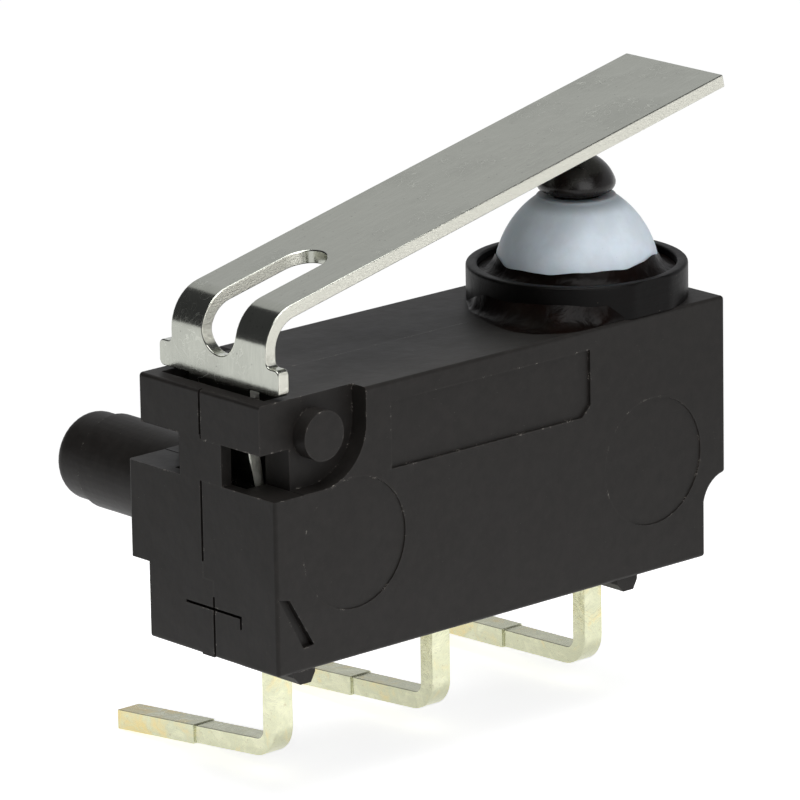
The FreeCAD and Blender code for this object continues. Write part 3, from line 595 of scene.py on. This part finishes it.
class SWITCH_OT_case(Operator):
    """Both halves of the moulded case in matte plastic, with the pegs narrowed at their tips"""
    bl_idname = "switch.case"
    bl_label = "Case halves"

    def execute(self, context):
        settings = context.scene.switch_case
        plastic = case_finish(settings)
        eased_copy("front_cover", "cover_shell", "case", "case_plastic", plastic, 0)
        eased_copy("rear_case", "case_shell", "case", "case_plastic", plastic, 0,
                   shape=self.step_pegs)
        return {"FINISHED"}

    def step_pegs(self, work):
        """Draw the far ends of the pegs in to their smaller tip, with a short cone between."""
        cone_foot, cone_top = 3.50 * MM, 3.56 * MM
        for level in (cone_foot, cone_top):
            everything = [*work.verts, *work.edges, *work.faces]
            bmesh.ops.bisect_plane(work, geom=everything, plane_co=(0, level, 0),
                                   plane_no=(0, 1, 0))
        for vertex in work.verts:
            if vertex.co.y > (cone_foot + cone_top) / 2:
                axis = math.copysign(PEG_OFFSET * MM, vertex.co.x)
                vertex.co.x = axis + (vertex.co.x - axis) * PEG_TIP_RADIUS / PEG_RADIUS
                vertex.co.z *= PEG_TIP_RADIUS / PEG_RADIUS


class SWITCH_OT_lever(Operator):
    """The leaf lever, rolled on its faces and sheared on its edges"""
    bl_idname = "switch.lever"
    bl_label = "Lever"

    def execute(self, context):
        settings = context.scene.switch_lever
        sheet = sheet_finish("lever_sheet", settings.colour, settings.cut_colour, (1.0, 16.0, 1.6))
        eased_copy("lever", "lever_leaf", "lever_body", "lever_metal", sheet, settings.edge,
                   angle=40.0)
        return {"FINISHED"}


class SWITCH_OT_plunger(Operator):
    """The plunger with its domed head and the stem that runs in the case"""
    bl_idname = "switch.plunger"
    bl_label = "Plunger"

    def execute(self, context):
        settings = context.scene.switch_boot
        low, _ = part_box("plunger")
        tip = low.z / MM + PEG_HEIGHT
        stem = softened([(0, tip, 0), (0.3, tip), (0.6, tip + 0.3), (0.6, SHOULDER_LOW, 0.02),
                         (0.94, SHOULDER_LOW), (0.94, 8.55), (0.55, 8.55, 0.02),
                         (0.55, 9.125, 0.02)], 0.06)
        head = [(0.55, 9.12), (0.74, 9.12)]
        head += arc_through((0.80, 9.125), (0.935, 9.22), (0.973, 9.37), 8)
        head += arc_through((0.973, 9.37), (0.6, 9.905), (0.05, 10.098), 22)
        head += [(0.05, 10.098), (0, 10.099)]
        mesh = turned("plunger_form", stem[:-1] + head, plunger_axis())
        new_object("plunger_head", mesh, "plunger_body", "plunger_plastic",
                   satin_finish("plunger_plastic", settings.plunger, 0.2, 0.34), "plunger")
        return {"FINISHED"}


class SWITCH_OT_boot(Operator):
    """The rubber boot, built at its rest length with the plunger up"""
    bl_idname = "switch.boot"
    bl_label = "Boot"

    def execute(self, context):
        settings = context.scene.switch_boot
        outline = softened([(1.72, 6.505), (2.35, 6.505), (2.35, 6.79), (2.0, 6.79, 0.02)], 0.05)
        outline += arc_through((2.0, 7.4), (1.59, 8.38), (0.99, 8.98), 26)
        outline += softened([(0.99, 8.98, 0), (0.97, 9.035, 0.04), (0.90, 9.045, 0.03),
                             (0.60, 9.03, 0.03), (0.575, 8.77, 0.02), (0.90, 8.66, 0)], 0.03)
        outline += arc_through((0.90, 8.66), (1.30, 8.26), (1.71, 7.4), 18)
        outline += [(1.72, 7.35)]
        mesh = turned("boot_form", outline, plunger_axis(), 128)
        boot = new_object("rubber_boot", mesh, "case", "boot_rubber", rubber_finish(settings),
                          "sealing_boot")
        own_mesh(boot)
        return {"FINISHED"}


class SWITCH_OT_collar(Operator):
    """The collar, cut flush with the case, and the resin in and round it"""
    bl_idname = "switch.collar"
    bl_label = "Collar and resin"

    def execute(self, context):
        settings = context.scene.switch_boot

        def cut_flush(radius, height, turn):
            across = abs(math.sin(turn)) * radius
            if across > CASE_HALF_WIDTH:
                radius *= CASE_HALF_WIDTH / across
            return radius, height

        outline = softened([(2.43, CASE_TOP, 0), (COLLAR_RADIUS, CASE_TOP, 0),
                            (COLLAR_RADIUS, 7.375, 0.09), (2.44, 7.37, 0.07)], 0.05, 5)
        mesh = turned("collar_form", outline, plunger_axis(), 160, cut_flush)
        new_object("collar_ring", mesh, "case", "collar_plastic",
                   satin_finish("collar_plastic", settings.collar, 0.36, 0.12), "boot_collar")

        resin = resin_finish(settings)

        def meniscus(radius, height, turn):
            hidden_below = 6.9
            if height < hidden_below:
                return radius, height
            ripple = noise.noise(Vector((math.cos(turn) * 1.6, math.sin(turn) * 1.6, 3.1)))
            small = noise.noise(Vector((math.cos(turn) * 5.0, math.sin(turn) * 5.0, 7.7)))
            climb = max(0.0, (2.3 - radius) / 0.3)
            height += (0.04 + 0.13 * climb) * ripple + (0.02 + 0.03 * climb) * small
            return radius, height

        bowl = [(2.01, 6.81), (2.42, 6.81), (2.42, 7.2)]
        bowl += arc_through((2.42, 7.2), (2.2, 7.27), (2.0, 7.52), 12)
        bowl += [(1.995, 7.53), (1.97, 7.5)]
        mesh = turned("resin_form", bowl, plunger_axis(), 128, meniscus)
        new_object("boot_seal", mesh, "case", "resin", resin, "boot_resin")
        self.bead(resin)
        paint("base_resin", resin)
        return {"FINISHED"}

    def bead(self, resin):
        """Uneven bead that wets the collar's foot on the lever side and pools at the front."""
        mesh = bpy.data.meshes.new("bead_form")
        work = bmesh.new()
        rounds, across = 90, 9
        first, sweep, pool_at = (math.radians(angle) for angle in (146, 107, 209))
        pool_width, pool_spread = 0.85, 0.45
        case_edge = CASE_HALF_WIDTH - 0.07
        rows = []
        for step in range(rounds + 1):
            share = step / rounds
            turn = first + sweep * share
            uneven = noise.noise(Vector((share * 6.0, 0.4, 1.7)))
            fine = noise.noise(Vector((share * 27.0, 0.9, 4.2)))
            ends = min(1.0, share * 4, (1 - share) * 10)
            pool = pool_width * math.exp(-((turn - pool_at) / pool_spread) ** 2)
            wide = (0.20 + pool + 0.08 * uneven + 0.03 * fine) * ends + 0.01
            tall = (0.40 + 0.08 * uneven) * ends + 0.01
            widest = case_edge / abs(math.sin(turn))
            section = [(BEAD_INSIDE + wide * t, tall * (1 - t) ** 2.2)
                       for t in (part / across for part in range(across + 1))]
            row = []
            for radius, height in [*section, (BEAD_INSIDE, 0.0)]:
                radius = min(radius, widest)
                row.append(work.verts.new(plunger_axis() + Vector(
                    (radius * math.cos(turn), radius * math.sin(turn), CASE_TOP + height)) * MM))
            rows.append(row)
        skin(work, rows)
        bmesh.ops.remove_doubles(work, verts=work.verts, dist=1e-8)
        bmesh.ops.recalc_face_normals(work, faces=work.faces)
        work.to_mesh(mesh)
        work.free()
        smooth(mesh, 60)
        new_object("resin_bead", mesh, "case", "resin", resin, "collar_resin_bead")


class SWITCH_OT_spring(Operator):
    """The coil spring inside the boot, built at its rest length"""
    bl_idname = "switch.spring"
    bl_label = "Return spring"

    def execute(self, context):
        settings = context.scene.switch_boot
        wire = settings.wire / MM / 2
        gap = 0.01
        low = CASE_TOP + wire + gap
        high = SHOULDER_LOW - wire - gap
        per_turn, round_wire = 40, 10
        total = settings.turns * per_turn
        mesh = bpy.data.meshes.new("spring_form")
        work = bmesh.new()
        rows = []
        for step in range(total + 1):
            turn = math.tau * step / per_turn
            share = step / total
            # The first and last tenth of the wire lie flat.
            rise = max(0.0, min(1.0, (share - 0.1) / 0.8))
            out = Vector((math.cos(turn), math.sin(turn), 0))
            up = Vector((0, 0, 1))
            centre = plunger_axis() + (out * SPRING_RADIUS + up * (low + (high - low) * rise)) * MM
            row = []
            for part in range(round_wire):
                angle = math.tau * part / round_wire
                aside = out * math.cos(angle) + up * math.sin(angle)
                row.append(work.verts.new(centre + aside * wire * MM))
            rows.append(row)
        skin(work, rows)
        bmesh.ops.recalc_face_normals(work, faces=work.faces)
        work.to_mesh(mesh)
        work.free()
        smooth(mesh, 60)
        grey = (0.56, 0.55, 0.53)
        steel = sheet_finish("spring_steel", grey, grey, (6.0, 6.0, 20.0))
        spring = new_object("coil_spring", mesh, "case", "spring_metal", steel, "return_spring")
        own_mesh(spring)
        paint("snap_spring", steel)
        return {"FINISHED"}


class SWITCH_OT_terminals(Operator):
    """The three bent terminals with their worn plating"""
    bl_idname = "switch.terminals"
    bl_label = "Terminals"

    def execute(self, context):
        settings = context.scene.switch_terminal
        plating = plating_finish(settings)
        for node, name in (("normally_closed_terminal", "closed_leg"),
                           ("common_terminal", "common_leg"),
                           ("normally_open_terminal", "open_leg")):
            eased_copy(node, name, "case", "terminal_metal", plating, settings.edge, segments=3,
                       angle=25.0)
        return {"FINISHED"}


class SWITCH_OT_contacts(Operator):
    """Finishes of the blade, its cradle and the four contacts inside the case"""
    bl_idname = "switch.contacts"
    bl_label = "Contacts and blade"

    def execute(self, context):
        copper = sheet_finish("blade_copper", (0.72, 0.42, 0.25), (0.80, 0.52, 0.34),
                              (1.5, 18.0, 18.0))
        pale = (0.80, 0.79, 0.76)
        silver = sheet_finish("contact_silver", pale, pale, (5.0, 5.0, 5.0))
        for node in ("contact_blade", "pivot_cradle"):
            paint(node, copper)
        for node in ("normally_closed_contact", "normally_open_contact",
                     "moving_closed_contact", "moving_open_contact"):
            paint(node, silver)
        return {"FINISHED"}


class SWITCH_OT_stage(Operator):
    """Pale floor, soft lights and the camera"""
    bl_idname = "switch.stage"
    bl_label = "Stage"

    def execute(self, context):
        settings = context.scene.switch_stage
        self.floor()
        self.lights(settings)
        self.camera(settings)
        context.scene.view_settings.view_transform = "Standard"
        return {"FINISHED"}

    def floor(self):
        """Pale floor that shows white away from the switch and keeps its shadow."""
        mesh = bpy.data.meshes.new("floor")
        half = 600 * MM
        level = CAD_BOX[0].z - 0.02 * MM
        mesh.from_pydata([(-half, -half, level), (half, -half, level), (half, half, level),
                          (-half, half, level)], [], [(0, 1, 2, 3)])
        floor = bpy.data.objects.new("floor", mesh)
        bpy.context.scene.collection.objects.link(floor)
        finish = Finish("pale_floor", Roughness=0.8, Specular_IOR_Level=0.1, Emission_Strength=1.0)
        where = finish.stretched(finish.point(), (1.0, 1.0, 0.0))
        away = finish.make("ShaderNodeVectorMath", {"operation": "LENGTH"}, {0: where}, output=1)
        far = away.between(7.0, 26.0)
        finish.feed(Base_Color=finish.mix(far, (0.95, 0.95, 0.95), (0.0, 0.0, 0.0)),
                    Emission_Color=finish.mix(far, (0.68, 0.68, 0.68), (1.0, 1.0, 1.0)))
        mesh.materials.append(finish.material)

    def lights(self, settings):
        """Pale walls under a dark ceiling, white to the camera, and four softboxes."""
        world = bpy.data.worlds.new("studio")
        bpy.context.scene.world = world
        world.use_nodes = True
        board = Board(world.node_tree)
        around = board.make("ShaderNodeTexCoord")
        along, deep, upright = board.parts(around)
        open_sky = (upright - 0.6 * along).between(-0.15, 0.22)
        walls = settings.walls + (settings.ceiling - settings.walls) * open_sky
        # Darker round the lever end, and full again behind it.
        right = 0.2 + 0.8 * along.between(-1.0, 0.1)
        behind = 0.2 + 0.8 * deep.between(0.15, 0.65)
        studio = board.make("ShaderNodeBackground", {}, {
            "Color": (0.96, 0.97, 1.0), "Strength": walls * right.larger(behind)})
        white = board.make("ShaderNodeBackground", {}, {"Color": (1, 1, 1), "Strength": 1.0})
        to_camera = board.make("ShaderNodeLightPath")
        mixed = board.make("ShaderNodeMixShader", {}, {0: to_camera, 1: studio, 2: white})
        board.plug(board.tree.nodes["World Output"].inputs[0], mixed)
        # Name, place, what it faces, size in millimetres and share of the key power.
        lamps = (
            ("top_softbox", place(0, -10, 70), place(7, 0, 6), 60, 1.85),
            ("front_softbox", place(-5, -70, 35), place(7, 0, 4), 55, 0.90),
            ("left_softbox", place(-75, 5, 30), place(5, 0, 5), 50, 0.06),
            ("back_softbox", place(44, 72, 58), place(8, 0, 8), 68, 0.285),
        )
        for name, at, towards, size, share in lamps:
            data = bpy.data.lights.new(name, "AREA")
            data.shape = "SQUARE"
            data.size = size * MM
            data.energy = settings.key_power * share
            lamp = bpy.data.objects.new(name, data)
            lamp.location = at
            lamp.rotation_euler = (towards - at).to_track_quat("-Z", "Y").to_euler()
            bpy.context.scene.collection.objects.link(lamp)

    def camera(self, settings):
        """Camera that looks at the middle of the switch from its front left."""
        azimuth, elevation, roll = settings.azimuth, settings.elevation, settings.roll
        back = Vector((-math.sin(azimuth) * math.cos(elevation),
                       -math.cos(azimuth) * math.cos(elevation), math.sin(elevation)))
        right = Vector((math.cos(azimuth), -math.sin(azimuth), 0))
        up = back.cross(right)
        tilted_right = right * math.cos(roll) + up * math.sin(roll)
        tilted_up = up * math.cos(roll) - right * math.sin(roll)
        data = bpy.data.cameras.new("camera")
        data.lens = settings.lens
        data.sensor_width = SENSOR_WIDTH
        data.clip_start = 0.01
        camera = bpy.data.objects.new("camera", data)
        turn = Matrix((tilted_right, tilted_up, back)).transposed().to_4x4()
        middle = place(6.299, 0, 4.986)
        camera.matrix_world = Matrix.Translation(middle + back * settings.distance) @ turn
        bpy.context.scene.collection.objects.link(camera)
        bpy.context.scene.camera = camera


class SWITCH_PT_panel(Panel):
    bl_idname = "SWITCH_PT_panel"
    bl_label = "Sealed lever switch"
    bl_space_type = "VIEW_3D"
    bl_region_type = "UI"
    bl_category = "Switch"

    def draw(self, context):
        for group, _ in GROUPS:
            box = self.layout.box()
            settings = getattr(context.scene, group)
            for key in settings.__annotations__:
                box.prop(settings, key)
        for operator in OPERATORS:
            self.layout.operator(operator.bl_idname)


GROUPS = (("switch_case", CaseSettings), ("switch_lever", LeverSettings),
          ("switch_boot", BootSettings), ("switch_terminal", TerminalSettings),
          ("switch_stage", StageSettings))
OPERATORS = (SWITCH_OT_case, SWITCH_OT_lever, SWITCH_OT_plunger, SWITCH_OT_boot,
             SWITCH_OT_collar, SWITCH_OT_spring, SWITCH_OT_terminals, SWITCH_OT_contacts,
             SWITCH_OT_stage)


def register():
    for name, group in GROUPS:
        bpy.utils.register_class(group)
        setattr(bpy.types.Scene, name, PointerProperty(type=group))
    for item in (*OPERATORS, SWITCH_PT_panel):
        bpy.utils.register_class(item)


def unregister():
    for item in reversed((*OPERATORS, SWITCH_PT_panel)):
        bpy.utils.unregister_class(item)
    for name, group in reversed(GROUPS):
        delattr(bpy.types.Scene, name)
        bpy.utils.unregister_class(group)


def main():
    register()
    for operator in OPERATORS:
        family, action = operator.bl_idname.split(".")
        getattr(getattr(bpy.ops, family), action)()
    bpy.context.view_layer.update()


if __name__ == "__main__":
    main()
